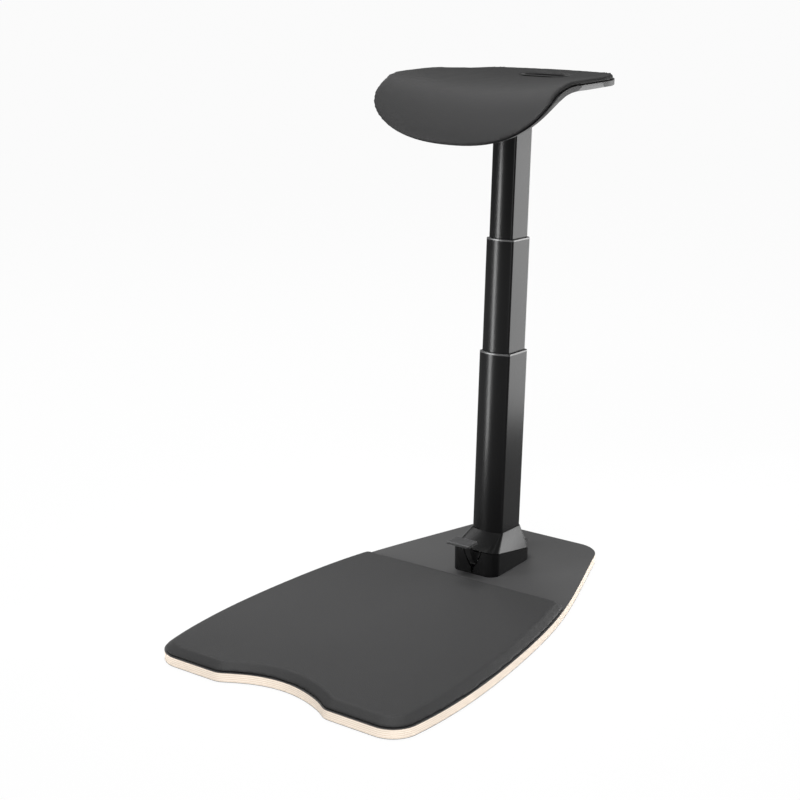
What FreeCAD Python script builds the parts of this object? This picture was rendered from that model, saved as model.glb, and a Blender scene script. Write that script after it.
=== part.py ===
import FreeCAD, Part
import math
import os

V = FreeCAD.Vector
os.makedirs("parts", exist_ok=True)

# Frame: +X to the sitter's right, +Y to the rear, +Z up, origin at the bottom centre of the
# board. The sitter stands on the mat at the front (-Y) and leans back on the seat.
# The base stands level; the mast leans back a little; the seat is level again.

# Board: plywood core between two thin laminates
BOARD_LENGTH = 751.0
CORE_THICKNESS = 13.4
LAMINATE_THICKNESS = 0.8
FOOT_HEIGHT = 2.0
FOOT_DIAMETER = 30.0
FOOT_EDGE_INSET = 45.0
HALF_WIDTH_FRONT_CORNER = 220.0
HALF_WIDTH_FRONT = 231.0
HALF_WIDTH_MAX = 237.0
HALF_WIDTH_MIDDLE = 229.0
HALF_WIDTH_WAIST = 206.0
HALF_WIDTH_REAR_FLANK = 160.0
HALF_WIDTH_REAR_CORNER = 117.0
FRONT_FROM_FRONT_EDGE = 60.0
MAX_FROM_FRONT_EDGE = 170.0
MIDDLE_FROM_FRONT_EDGE = 306.0
WAIST_FROM_FRONT_EDGE = 460.0
REAR_FLANK_FROM_REAR_EDGE = 132.0
FRONT_CORNER_RADIUS = 44.0
REAR_CORNER_RADIUS = 48.0
NOTCH_HALF_WIDTH = 108.0
NOTCH_DEPTH = 32.0

# Standing mat
MAT_THICKNESS = 12.0
MAT_INSET = 1.5
MAT_TO_HOUSING = 29.0
MAT_REAR_CORNER_RADIUS = 18.0
MAT_EDGE_HEIGHT = 2.5
MAT_BEVEL_WIDTH = 14.0

# Base housing and the sloping seam under the mast
HOUSING_WIDTH = 86.0
HOUSING_DEPTH = 121.0
HOUSING_FROM_REAR_EDGE = 103.5
HOUSING_CORNER_RADIUS = 18.0
HOUSING_WALL = 4.0
SEAM_FRONT_HEIGHT = 42.0
SEAM_REAR_HEIGHT = 19.0
SEAM_REVEAL = 1.0
WINDOW_TOP_HALF_WIDTH = 19.0
WINDOW_WAIST_HALF_WIDTH = 8.0
WINDOW_SLOT_WIDTH = 5.6
WINDOW_SLOT_LENGTH = 14.0
BOSS_RADIUS = 6.5
BOSS_HEIGHT = 17.0
PLATE_BOLT_FROM_MIDDLE = 27.0
PLATE_BOLT_FROM_END = 34.0

# Mast: three telescopic tubes, leaning back
MAST_FROM_REAR_EDGE = 153.5
MAST_LEAN = 2.5
TUBE_WIDTH = 58.0
TUBE_DEPTH = 72.0
TUBE_FACE_RADIUS = 60.0
TUBE_CORNER_RADIUS = 5.0
TUBE_WALL = 2.5
STAGE_CLEARANCE = 1.0
STAGE_RADIUS_STEP = 0.5
COLLAR_TOP_HEIGHT = 63.0
COLLAR_WALL = 3.0
COLLAR_LIP = 1.5
MIDDLE_TUBE_SHOWN = 187.0
INNER_TUBE_SHOWN = 177.0
STAGE_OVERLAP = 90.0
RIM_HEIGHT = 3.0
RIM_SKIRT_LENGTH = 28.0
SLIDE_CLEARANCE = 0.3
FIT_CLEARANCE = 0.05
SLIDER_HEIGHT = 18.0
SPIGOT_HEIGHT = 45.0
SPIGOT_CLEARANCE = 0.1
SPIGOT_BOLT_FROM_MIDDLE = 16.0
SPIGOT_BOLT_DEPTH = 24.0

# Hinge at the rear of the housing
HINGE_BEHIND_HOUSING = 8.0
HINGE_HEIGHT = 23.0
HINGE_BARREL_RADIUS = 7.0
HINGE_SHAFT_RADIUS = 4.0
HINGE_BUSH_WALL = 1.5
KNUCKLE_HALF_WIDTH = 13.0
LUG_GAP = 1.0
LUG_WIDTH = 12.0
SHAFT_HEAD_RADIUS = 6.0
SHAFT_HEAD_THICKNESS = 2.5
FOOT_PLATE_THICKNESS = 5.0
BASE_PLATE_THICKNESS = 4.0

# Pedal and its latch
PIVOT_BEHIND_FRONT = 11.0
PIVOT_HEIGHT = 19.0
PIVOT_PIN_RADIUS = 3.0
PEDAL_BOSS_RADIUS = 6.5
PEDAL_BOSS_HALF_WIDTH = 5.0
PEDAL_EAR_INNER = 9.8
PEDAL_EAR_THICKNESS = 3.0
PLATE_HALF_WIDTH = 22.0
PLATE_LENGTH = 30.0
PLATE_THICKNESS = 2.5
PLATE_TOP_HEIGHT = 66.0
PLATE_OVERHANG = 46.0
TREAD_THICKNESS = 2.0
TREAD_INSET = 1.5
TREAD_RIB_PITCH = 3.6
TONGUE_TOP_HALF_WIDTH = 15.5
TONGUE_THICKNESS = 3.0
HOOK_HEIGHT = 17.0
HOOK_REACH = 7.0
HOOK_THICKNESS = 3.2
HOOK_HALF_WIDTH = 4.5
KEEPER_RADIUS = 2.5
KEEPER_EAR_THICKNESS = 3.0
SPRING_WIRE = 1.2
SPRING_TURNS = 2.5

# Gas spring
GAS_CYLINDER_RADIUS = 11.0
GAS_CYLINDER_WALL = 1.5
GAS_CYLINDER_ABOVE_OUTER_TUBE = 72.0
GAS_ROD_RADIUS = 4.0
GAS_PISTON_LENGTH = 18.0
VALVE_PIN_RADIUS = 1.4
VALVE_PIN_STANDOUT = 6.0
GAS_SOCKET_DEPTH = 20.0
ROD_STANDOUT = 7.0

# Seat: level behind, rolled down in front
SEAT_TOP_HEIGHT = 819.0
SEAT_REAR_FROM_AXIS = 140.0
SEAT_TAIL_LENGTH = 72.0
SEAT_TAIL_RISE = 10.0
SEAT_ROLL_FROM_AXIS = 94.0
SEAT_ROLL_RADIUS = 102.0
SEAT_DROP = 97.0
SEAT_DROP_FULLNESS = 2.3
SEAT_HALF_WIDTH = 163.0
SEAT_HAUNCH_HALF_WIDTH = 138.0
SEAT_DISH = 14.0
PAD_THICKNESS = 8.0
PAD_INSET = 1.5
SHELL_THICKNESS = 8.0
SLOT_FROM_AXIS = 92.0
SLOT_LENGTH = 78.0
SLOT_WIDTH = 33.0
BEZEL_WALL = 2.6
BEZEL_FLANGE = 3.5
BEZEL_FLANGE_THICKNESS = 2.0

# Bracket under the seat and the height lever
BRACKET_PLATE_THICKNESS = 4.0
BRACKET_PLATE_HALF_WIDTH = 41.0
BRACKET_FRONT_FROM_AXIS = 62.0
BRACKET_REAR_FROM_AXIS = 58.0
CHEEK_INNER = 17.5
CHEEK_THICKNESS = 4.0
BRACKET_FLANGE_THICKNESS = 5.0
BRACKET_HEIGHT = 59.0
BRACKET_PLUG_LENGTH = 35.0
BRACKET_SCREW_FROM_END = 14.0
BRACKET_SCREW_FROM_SIDE = 9.0
LEVER_PIVOT_FROM_AXIS = 24.0
LEVER_PIVOT_HEIGHT = 34.0
LEVER_PIN_RADIUS = 3.0
LEVER_BOSS_RADIUS = 6.0
LEVER_HALF_WIDTH = 16.0
LEVER_THICKNESS = 4.0
LEVER_REACH = 78.0
SCREW_RADIUS = 2.5
SCREW_HEAD_RADIUS = 4.5
SCREW_HEAD_HEIGHT = 3.0
BOLT_RADIUS = 3.0
BOLT_HEAD_RADIUS = 6.0
BOLT_HEAD_HEIGHT = 3.6
PIN_CLEARANCE = 0.05

# Heights and places that follow from the sizes above
CORE_BOTTOM = FOOT_HEIGHT + LAMINATE_THICKNESS
CORE_TOP = CORE_BOTTOM + CORE_THICKNESS
BOARD_TOP = CORE_TOP + LAMINATE_THICKNESS
FRONT_Y = -BOARD_LENGTH / 2
REAR_Y = BOARD_LENGTH / 2
HOUSING_REAR_Y = REAR_Y - HOUSING_FROM_REAR_EDGE
HOUSING_FRONT_Y = HOUSING_REAR_Y - HOUSING_DEPTH
MAT_REAR_EDGE_Y = HOUSING_FRONT_Y - MAT_TO_HOUSING
PLATE_FRONT_Y = HOUSING_FRONT_Y - PLATE_OVERHANG
MAST_Y = REAR_Y - MAST_FROM_REAR_EDGE
HOUSING_Y = (HOUSING_REAR_Y + HOUSING_FRONT_Y) / 2
SEAM_SLOPE = math.degrees(math.atan((SEAM_FRONT_HEIGHT - SEAM_REAR_HEIGHT) / HOUSING_DEPTH))
HINGE_Y = HOUSING_REAR_Y + HINGE_BEHIND_HOUSING
HINGE_Z = BOARD_TOP + HINGE_HEIGHT
PIVOT_Y = HOUSING_FRONT_Y + PIVOT_BEHIND_FRONT
PIVOT_Z = BOARD_TOP + PIVOT_HEIGHT
STAGE_STEP = TUBE_WALL + STAGE_CLEARANCE
LEAN_SIN = math.sin(math.radians(MAST_LEAN))
LEAN_COS = math.cos(math.radians(MAST_LEAN))
SEAT_AXIS_Y = MAST_Y + (SEAT_TOP_HEIGHT * LEAN_SIN / LEAN_COS)
SEAT_TOP = BOARD_TOP + SEAT_TOP_HEIGHT
SEAT_LOW = SEAT_TOP - SEAT_DISH
PAD_BOTTOM = SEAT_LOW - PAD_THICKNESS
SHELL_BOTTOM = PAD_BOTTOM - SHELL_THICKNESS
INNER_TUBE_TOP = SHELL_BOTTOM - BOARD_TOP - BRACKET_HEIGHT
MIDDLE_TUBE_TOP = INNER_TUBE_TOP - INNER_TUBE_SHOWN
OUTER_TUBE_TOP = MIDDLE_TUBE_TOP - MIDDLE_TUBE_SHOWN
SPIGOT_TOP = COLLAR_TOP_HEIGHT + SPIGOT_HEIGHT
FLANGE_TOP = INNER_TUBE_TOP + BRACKET_FLANGE_THICKNESS
ROD_TOP = FLANGE_TOP + ROD_STANDOUT
HEAD_SEAT = CORE_BOTTOM + BOLT_HEAD_HEIGHT


def save(node, shape):
    shape.exportStep("parts/%s.step" % node)


def wire_of(edges):
    return Part.Wire([e for group in Part.sortEdges(edges) for e in group])


def spline(points, start=None, end=None):
    curve = Part.BSplineCurve()
    if start is None:
        curve.interpolate(points)
    else:
        curve.interpolate(Points=points, InitialTangent=start, FinalTangent=end)
    return curve.toShape()


def polygon(points):
    return Part.Wire(Part.makePolygon(points + [points[0]]).Edges)


def rounded_wire(width, depth, radius, y=0.0, z=0.0):
    """Rounded rectangle in a level plane, centred on x = 0 and the given y."""
    a, b = width / 2, depth / 2
    r = radius
    k = r * (1 - math.sqrt(0.5))
    edges = []
    for sx, sy in ((1, 1), (-1, 1), (-1, -1), (1, -1)):
        p = V(sx * a, sy * (b - r), 0)
        q = V(sx * (a - r), sy * b, 0)
        m = V(sx * (a - k), sy * (b - k), 0)
        edges.append(Part.Arc(p, m, q).toShape())
    edges.append(Part.makeLine(V(a, r - b, 0), V(a, b - r, 0)))
    edges.append(Part.makeLine(V(-a, r - b, 0), V(-a, b - r, 0)))
    edges.append(Part.makeLine(V(r - a, b, 0), V(a - r, b, 0)))
    edges.append(Part.makeLine(V(r - a, -b, 0), V(a - r, -b, 0)))
    wire = wire_of(edges)
    wire.translate(V(0, y, z))
    return wire


def rounded_prism(width, depth, radius, z0, z1, y=0.0):
    return Part.Face(rounded_wire(width, depth, radius, y, z0)).extrude(V(0, 0, z1 - z0))


def slot_prism(length, width, y, z0, z1):
    return rounded_prism(length, width, width / 2 - 0.01, z0, z1, y)


def upright(x, y, z0, z1, radius):
    return Part.makeCylinder(radius, z1 - z0, V(x, y, z0))


def across(x0, x1, y, z, radius):
    """Cylinder along X."""
    return Part.makeCylinder(radius, x1 - x0, V(x0, y, z), V(1, 0, 0))


def side_plate(points, x0, x1):
    """Flat plate with a side outline given as (y, z) points."""
    return Part.Face(polygon([V(x0, y, z) for y, z in points])).extrude(V(x1 - x0, 0, 0))


def both_sides(points, inner, outer):
    return side_plate(points, inner, outer).fuse(side_plate(points, -outer, -inner))


def lean(shape):
    """Tip a piece that was built upright at the mast into the mast's lean."""
    shape.rotate(V(0, MAST_Y, BOARD_TOP), V(1, 0, 0), -MAST_LEAN)
    return shape


def under_seam(lift):
    """Everything below the sloping seam, raised by the given amount."""
    reach = 4 * HOUSING_DEPTH
    block = Part.makeBox(reach, 2 * reach, reach, V(-reach / 2, -reach, -reach))
    block.rotate(V(0, 0, 0), V(1, 0, 0), -SEAM_SLOPE)
    block.translate(V(0, HOUSING_FRONT_Y, BOARD_TOP + SEAM_FRONT_HEIGHT + lift))
    return block


def seam_height(y):
    share = (y - HOUSING_FRONT_Y) / HOUSING_DEPTH
    return BOARD_TOP + SEAM_FRONT_HEIGHT + (SEAM_REAR_HEIGHT - SEAM_FRONT_HEIGHT) * share


def screw(x, y, head_z, tip_z, radius, head_radius, head_height):
    """Cap screw whose head starts at head_z and whose shank ends at tip_z."""
    up = 1 if tip_z > head_z else -1
    head = Part.makeCylinder(head_radius, head_height, V(x, y, head_z), V(0, 0, up))
    shank = Part.makeCylinder(radius, abs(tip_z - head_z), V(x, y, head_z), V(0, 0, up))
    return head.fuse(shank).removeSplitter()


# Board outline
def board_solid(z0, z1, inset, rear_y):
    """Board-shaped slab: waved front edge, curved flanks, straight rear edge."""
    front = FRONT_Y + inset
    flank = [(HALF_WIDTH_FRONT_CORNER, front),
             (HALF_WIDTH_FRONT, FRONT_Y + FRONT_FROM_FRONT_EDGE),
             (HALF_WIDTH_MAX, FRONT_Y + MAX_FROM_FRONT_EDGE),
             (HALF_WIDTH_MIDDLE, FRONT_Y + MIDDLE_FROM_FRONT_EDGE),
             (HALF_WIDTH_WAIST, FRONT_Y + WAIST_FROM_FRONT_EDGE),
             (HALF_WIDTH_REAR_FLANK, REAR_Y - REAR_FLANK_FROM_REAR_EDGE),
             (HALF_WIDTH_REAR_CORNER, REAR_Y)]
    right = spline([V(x - inset, y, z0) for x, y in flank])
    left = spline([V(inset - x, y, z0) for x, y in flank])
    notch = NOTCH_HALF_WIDTH
    along = V(1, 0, 0)
    wave = spline([V(-notch, front, z0), V(-0.80 * notch, front + 0.22 * NOTCH_DEPTH, z0),
                   V(-0.48 * notch, front + 0.72 * NOTCH_DEPTH, z0),
                   V(0, front + NOTCH_DEPTH, z0),
                   V(0.48 * notch, front + 0.72 * NOTCH_DEPTH, z0),
                   V(0.80 * notch, front + 0.22 * NOTCH_DEPTH, z0), V(notch, front, z0)],
                  along, along)
    corner = HALF_WIDTH_FRONT_CORNER - inset
    rear = HALF_WIDTH_REAR_CORNER - inset
    edges = [right, left, wave,
             Part.makeLine(V(-corner, front, z0), V(-notch, front, z0)),
             Part.makeLine(V(notch, front, z0), V(corner, front, z0)),
             Part.makeLine(V(-rear, REAR_Y, z0), V(rear, REAR_Y, z0))]
    slab = Part.Face(wire_of(edges)).extrude(V(0, 0, z1 - z0))
    slab = slab.makeFillet(FRONT_CORNER_RADIUS - inset, corner_edges(slab, front, corner))
    if rear_y < REAR_Y:
        keep = Part.makeBox(BOARD_LENGTH, rear_y - FRONT_Y, z1 - z0,
                            V(-BOARD_LENGTH / 2, FRONT_Y, z0))
        slab = slab.common(keep)
        cut = [e for e in slab.Edges if is_upright(e) and abs(e.Vertexes[0].Y - rear_y) < 0.01]
        return slab.makeFillet(MAT_REAR_CORNER_RADIUS, cut)
    return slab.makeFillet(REAR_CORNER_RADIUS, corner_edges(slab, REAR_Y, rear))


def is_upright(edge):
    a, b = edge.Vertexes[0].Point, edge.Vertexes[-1].Point
    return abs(a.x - b.x) < 1e-4 and abs(a.y - b.y) < 1e-4 and abs(a.z - b.z) > 1e-3


def corner_edges(slab, y, half_width):
    found = []
    for e in slab.Edges:
        p = e.Vertexes[0]
        if is_upright(e) and abs(p.Y - y) < 0.01 and abs(abs(p.X) - half_width) < 0.01:
            found.append(e)
    return found


def bolt_points(half_x, y0, y1):
    return [(sx * half_x, y) for sx in (-1, 1) for y in (y0, y1)]


# Base
PLATE_BOLTS = bolt_points(PLATE_BOLT_FROM_MIDDLE, HOUSING_FRONT_Y + PLATE_BOLT_FROM_END,
                          HOUSING_REAR_Y - PLATE_BOLT_FROM_END)
HOUSING_BOSSES = bolt_points(HOUSING_WIDTH / 2 - HOUSING_WALL - BOSS_RADIUS + 1.0,
                             HOUSING_FRONT_Y + HOUSING_WALL + BOSS_RADIUS - 1.0,
                             HOUSING_REAR_Y - HOUSING_WALL - BOSS_RADIUS + 1.0)


def drill_base(shape, counterbore):
    """Holes for the bolts of the base plate and the screws of the housing."""
    for x, y in PLATE_BOLTS:
        shape = shape.cut(upright(x, y, 0, BOARD_TOP + 1, BOLT_RADIUS + 0.2))
        if counterbore:
            shape = shape.cut(upright(x, y, 0, HEAD_SEAT, BOLT_HEAD_RADIUS + 0.5))
    for x, y in HOUSING_BOSSES:
        shape = shape.cut(upright(x, y, 0, BOARD_TOP + 1, SCREW_RADIUS + 0.2))
        if counterbore:
            shape = shape.cut(upright(x, y, 0, HEAD_SEAT, SCREW_HEAD_RADIUS + 0.5))
    return shape


def build_board():
    save("board_core", drill_base(board_solid(CORE_BOTTOM, CORE_TOP, 0.0, REAR_Y), True))
    save("board_bottom_laminate",
         drill_base(board_solid(FOOT_HEIGHT, CORE_BOTTOM, 0.0, REAR_Y), True))
    save("board_top_laminate", drill_base(board_solid(CORE_TOP, BOARD_TOP, 0.0, REAR_Y), False))
    mat_top = BOARD_TOP + MAT_THICKNESS
    mat = board_solid(BOARD_TOP, mat_top, MAT_INSET, MAT_REAR_EDGE_Y)
    rim = [e for e in mat.Edges if min(v.Z for v in e.Vertexes) > mat_top - 0.01]
    save("comfort_mat", mat.makeChamfer(MAT_THICKNESS - MAT_EDGE_HEIGHT, MAT_BEVEL_WIDTH, rim))
    middle_y = FRONT_Y + MIDDLE_FROM_FRONT_EDGE
    spots = [(HALF_WIDTH_FRONT - FOOT_EDGE_INSET, FRONT_Y + FOOT_EDGE_INSET),
             (HALF_WIDTH_MIDDLE - FOOT_EDGE_INSET, middle_y),
             (HALF_WIDTH_REAR_CORNER - FOOT_EDGE_INSET, REAR_Y - FOOT_EDGE_INSET)]
    feet = [upright(s * x, y, 0, FOOT_HEIGHT, FOOT_DIAMETER / 2) for x, y in spots for s in (-1, 1)]
    feet.append(upright(0, 0, 0, FOOT_HEIGHT, FOOT_DIAMETER / 2))
    save("rubber_feet", Part.makeCompound(feet))


def window_cutter():
    """Opening in the front wall: a wide V round the tongue, then a narrow slot below."""
    top = BOARD_TOP + SEAM_FRONT_HEIGHT + 2
    waist = PIVOT_Z - 3
    a, b = WINDOW_TOP_HALF_WIDTH, WINDOW_WAIST_HALF_WIDTH
    y = HOUSING_FRONT_Y - 1
    bend = waist + 0.35 * (top - waist)
    right = spline([V(a, y, top), V(0.62 * a, y, bend), V(b * 0.6, y, waist - 2.2)])
    left = spline([V(-a, y, top), V(-0.62 * a, y, bend), V(-b * 0.6, y, waist - 2.2)])
    foot = Part.Arc(V(b * 0.6, y, waist - 2.2), V(0, y, waist - b * 0.6),
                    V(-b * 0.6, y, waist - 2.2)).toShape()
    lid = Part.makeLine(V(-a, y, top), V(a, y, top))
    opening = Part.Face(wire_of([right, left, foot, lid])).extrude(V(0, HOUSING_WALL + 2, 0))
    r = WINDOW_SLOT_WIDTH / 2
    low = waist - WINDOW_SLOT_LENGTH + r
    slot = Part.makeBox(2 * r, HOUSING_WALL + 2, waist - low, V(-r, y, low))
    end = Part.makeCylinder(r, HOUSING_WALL + 2, V(0, y, low), V(0, 1, 0))
    return opening.fuse([slot, end])


def build_housing():
    outer = rounded_prism(HOUSING_WIDTH, HOUSING_DEPTH, HOUSING_CORNER_RADIUS,
                          BOARD_TOP, BOARD_TOP + 2 * SEAM_FRONT_HEIGHT, HOUSING_Y)
    cavity = rounded_prism(HOUSING_WIDTH - 2 * HOUSING_WALL, HOUSING_DEPTH - 2 * HOUSING_WALL,
                           HOUSING_CORNER_RADIUS - HOUSING_WALL,
                           BOARD_TOP, BOARD_TOP + 2 * SEAM_FRONT_HEIGHT, HOUSING_Y)
    shell = outer.cut(cavity)
    bosses = [upright(x, y, BOARD_TOP, BOARD_TOP + BOSS_HEIGHT, BOSS_RADIUS)
              for x, y in HOUSING_BOSSES]
    shell = shell.fuse([boss.common(outer) for boss in bosses])
    shell = shell.common(under_seam(0.0)).cut(window_cutter())
    reach = KNUCKLE_HALF_WIDTH + LUG_GAP + LUG_WIDTH + LUG_GAP
    rear_window = Part.makeBox(2 * reach, HOUSING_WALL + 2, 2 * SEAM_REAR_HEIGHT,
                               V(-reach, HOUSING_REAR_Y - HOUSING_WALL - 1,
                                 BOARD_TOP + BASE_PLATE_THICKNESS + 2))
    shell = shell.cut(rear_window)
    for x, y in HOUSING_BOSSES:
        shell = shell.cut(upright(x, y, BOARD_TOP, BOARD_TOP + BOSS_HEIGHT - 3, SCREW_RADIUS))
    save("base_housing", shell.removeSplitter())
    screws = [screw(x, y, HEAD_SEAT - SCREW_HEAD_HEIGHT, BOARD_TOP + BOSS_HEIGHT - 5,
                    SCREW_RADIUS, SCREW_HEAD_RADIUS, SCREW_HEAD_HEIGHT) for x, y in HOUSING_BOSSES]
    save("housing_screws", Part.makeCompound(screws))


def build_base_bracket():
    margin = HOUSING_WALL + 0.5
    plate_top = BOARD_TOP + BASE_PLATE_THICKNESS
    plate = rounded_prism(HOUSING_WIDTH - 2 * margin, HOUSING_DEPTH - 2 * margin,
                          HOUSING_CORNER_RADIUS - margin, BOARD_TOP, plate_top, HOUSING_Y)
    for x, y in HOUSING_BOSSES:
        plate = plate.cut(upright(x, y, BOARD_TOP, plate_top, BOSS_RADIUS + 0.5))
    inner = KNUCKLE_HALF_WIDTH + LUG_GAP
    outer = inner + LUG_WIDTH
    wall_y = HOUSING_REAR_Y
    lug = [(wall_y - 22, plate_top), (wall_y - 18, plate_top + 8),
           (wall_y - 6, plate_top + 13), (HINGE_Y - 3, HINGE_Z - 5),
           (HINGE_Y + 4, HINGE_Z - 5), (HINGE_Y - 3, plate_top + 5),
           (wall_y - 6, plate_top + 3), (wall_y - 8, plate_top)]
    bracket = plate.fuse(both_sides(lug, inner, outer))
    for x0 in (inner, -outer):
        bracket = bracket.fuse(across(x0, x0 + LUG_WIDTH, HINGE_Y, HINGE_Z, HINGE_BARREL_RADIUS))
    ear = [(PIVOT_Y - 6, plate_top), (PIVOT_Y - 6, PIVOT_Z + 6),
           (PIVOT_Y + 6, PIVOT_Z + 6), (PIVOT_Y + 14, plate_top)]
    bracket = bracket.fuse(both_sides(ear, PEDAL_EAR_INNER, PEDAL_EAR_INNER + PEDAL_EAR_THICKNESS))
    bracket = bracket.cut(across(-outer, outer, HINGE_Y, HINGE_Z, HINGE_SHAFT_RADIUS))
    bracket = bracket.cut(across(-outer, outer, PIVOT_Y, PIVOT_Z, PIVOT_PIN_RADIUS))
    for x, y in PLATE_BOLTS:
        bracket = bracket.cut(upright(x, y, BOARD_TOP, plate_top, BOLT_RADIUS))
    save("base_bracket", bracket.removeSplitter())
    bolts = [screw(x, y, HEAD_SEAT - BOLT_HEAD_HEIGHT, plate_top + 2, BOLT_RADIUS,
                   BOLT_HEAD_RADIUS, BOLT_HEAD_HEIGHT) for x, y in PLATE_BOLTS]
    save("base_bolts", Part.makeCompound(bolts))
    head_x = outer + SHAFT_HEAD_THICKNESS
    shaft = across(-outer, outer + 2, HINGE_Y, HINGE_Z, HINGE_SHAFT_RADIUS)
    head = across(-head_x, -outer, HINGE_Y, HINGE_Z, SHAFT_HEAD_RADIUS)
    save("hinge_shaft", shaft.fuse(head).removeSplitter())
    clip = across(outer, outer + 1.5, HINGE_Y, HINGE_Z, SHAFT_HEAD_RADIUS)
    save("hinge_clip", clip.cut(across(outer, outer + 1.5, HINGE_Y, HINGE_Z, HINGE_SHAFT_RADIUS)))
    ear_end = PEDAL_EAR_INNER + PEDAL_EAR_THICKNESS
    save("pedal_pin", across(-ear_end, ear_end, PIVOT_Y, PIVOT_Z, PIVOT_PIN_RADIUS))


# Pedal
def build_pedal():
    plate_z = BOARD_TOP + PLATE_TOP_HEIGHT
    plate_rear = PLATE_FRONT_Y + PLATE_LENGTH
    half = PEDAL_BOSS_HALF_WIDTH
    boss = across(-half, half, PIVOT_Y, PIVOT_Z, PEDAL_BOSS_RADIUS)
    face_y = HOUSING_FRONT_Y + 1.0
    tongue_top = BOARD_TOP + SEAM_FRONT_HEIGHT - 3.0
    a, b = TONGUE_TOP_HALF_WIDTH, half
    tongue = Part.Face(polygon([V(-a, face_y, tongue_top), V(a, face_y, tongue_top),
                                V(0.55 * a, face_y, PIVOT_Z + 7), V(b, face_y, PIVOT_Z - 1),
                                V(-b, face_y, PIVOT_Z - 1), V(-0.55 * a, face_y, PIVOT_Z + 7)]))
    tongue = tongue.extrude(V(0, TONGUE_THICKNESS, 0))
    neck = [(PIVOT_Y - 4, PIVOT_Z - 4), (PIVOT_Y - 4, PIVOT_Z + 5),
            (face_y + 2, tongue_top), (face_y - 3, tongue_top - 1),
            (plate_rear + 1, plate_z - PLATE_THICKNESS), (plate_rear - 8, plate_z - PLATE_THICKNESS),
            (face_y - 9, tongue_top - 8), (face_y - 1, PIVOT_Z + 1)]
    stem = side_plate(neck, -half, half)
    plate = Part.makeBox(2 * PLATE_HALF_WIDTH, PLATE_LENGTH, PLATE_THICKNESS,
                         V(-PLATE_HALF_WIDTH, PLATE_FRONT_Y, plate_z - PLATE_THICKNESS))
    plate = plate.makeFillet(3.0, [e for e in plate.Edges if is_upright(e)])
    hook_top = PIVOT_Z + HOOK_HEIGHT
    hook = [(PIVOT_Y - 3, PIVOT_Z), (PIVOT_Y - 2.5, hook_top - 1), (PIVOT_Y - 1.5, hook_top),
            (PIVOT_Y + HOOK_REACH - 2, hook_top), (PIVOT_Y + HOOK_REACH, hook_top - HOOK_THICKNESS),
            (PIVOT_Y + 2.4, hook_top - HOOK_THICKNESS), (PIVOT_Y + 2.4, PIVOT_Z)]
    latch = side_plate(hook, -HOOK_HALF_WIDTH, HOOK_HALF_WIDTH)
    lever = boss.fuse([tongue, stem, plate, latch])
    lever = lever.cut(across(-half, half, PIVOT_Y, PIVOT_Z, PIVOT_PIN_RADIUS + PIN_CLEARANCE))
    save("pedal_lever", lever.removeSplitter())

    width = PLATE_HALF_WIDTH - TREAD_INSET
    length = PLATE_LENGTH - 2 * TREAD_INSET
    base = Part.makeBox(2 * width, length, TREAD_THICKNESS / 2,
                        V(-width, PLATE_FRONT_Y + TREAD_INSET, plate_z))
    ribs = []
    for i in range(int((length - TREAD_RIB_PITCH / 2) / TREAD_RIB_PITCH) + 1):
        y = PLATE_FRONT_Y + TREAD_INSET + i * TREAD_RIB_PITCH
        ribs.append(Part.makeBox(2 * width, TREAD_RIB_PITCH / 2, TREAD_THICKNESS, V(-width, y, plate_z)))
    save("pedal_tread", base.fuse(ribs).removeSplitter())

    coil = PIVOT_PIN_RADIUS + SPRING_WIRE
    helix = Part.makeHelix(SPRING_WIRE * 1.1, SPRING_WIRE * 1.1 * SPRING_TURNS, coil)
    ring = Part.Wire(Part.makeCircle(SPRING_WIRE / 2, V(coil, 0, 0), V(0, 1, 0)))
    spring = Part.Wire(helix.Edges).makePipeShell([ring], True, True)
    spring.rotate(V(0, 0, 0), V(0, 1, 0), 90)
    spring.translate(V(half + SPRING_WIRE / 2 + 0.1, PIVOT_Y, PIVOT_Z))
    save("pedal_spring", spring)


# Mast
def stage_wire(stage, z, grow=0.0):
    """Section of a tube: flat flanks and bowed front and rear; stage 0 is the outer tube."""
    step = STAGE_STEP * stage - grow
    a = TUBE_WIDTH / 2 - step
    b = TUBE_DEPTH / 2 - step
    bow = TUBE_FACE_RADIUS - step
    r = TUBE_CORNER_RADIUS - STAGE_RADIUS_STEP * stage + grow
    corner_x = a - r
    corner_y = b - bow + math.sqrt((bow - r) ** 2 - corner_x ** 2)
    ex, ey = corner_x / (bow - r), (corner_y - b + bow) / (bow - r)
    mx, my = ex + 1, ey
    size = math.hypot(mx, my)
    edges = []
    for sx, sy in ((1, 1), (-1, 1), (-1, -1), (1, -1)):
        flank = V(sx * a, sy * corner_y, 0)
        middle = V(sx * (corner_x + r * mx / size), sy * (corner_y + r * my / size), 0)
        face = V(sx * bow * ex, sy * (b - bow + bow * ey), 0)
        edges.append(Part.Arc(flank, middle, face).toShape())
    for side in (1, -1):
        ends = [V(x, side * (b - bow + bow * ey), 0) for x in (-bow * ex, bow * ex)]
        edges.append(Part.Arc(ends[0], V(0, side * b, 0), ends[1]).toShape())
        edges.append(Part.makeLine(V(side * a, -corner_y, 0), V(side * a, corner_y, 0)))
    wire = wire_of(edges)
    wire.translate(V(0, MAST_Y, z))
    return wire


def stage_prism(stage, z0, z1, grow=0.0):
    return Part.Face(stage_wire(stage, BOARD_TOP + z0, grow)).extrude(V(0, 0, z1 - z0))


def stage_tube(stage, z0, z1):
    return stage_prism(stage, z0, z1).cut(stage_prism(stage, z0, z1, -TUBE_WALL))


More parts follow.
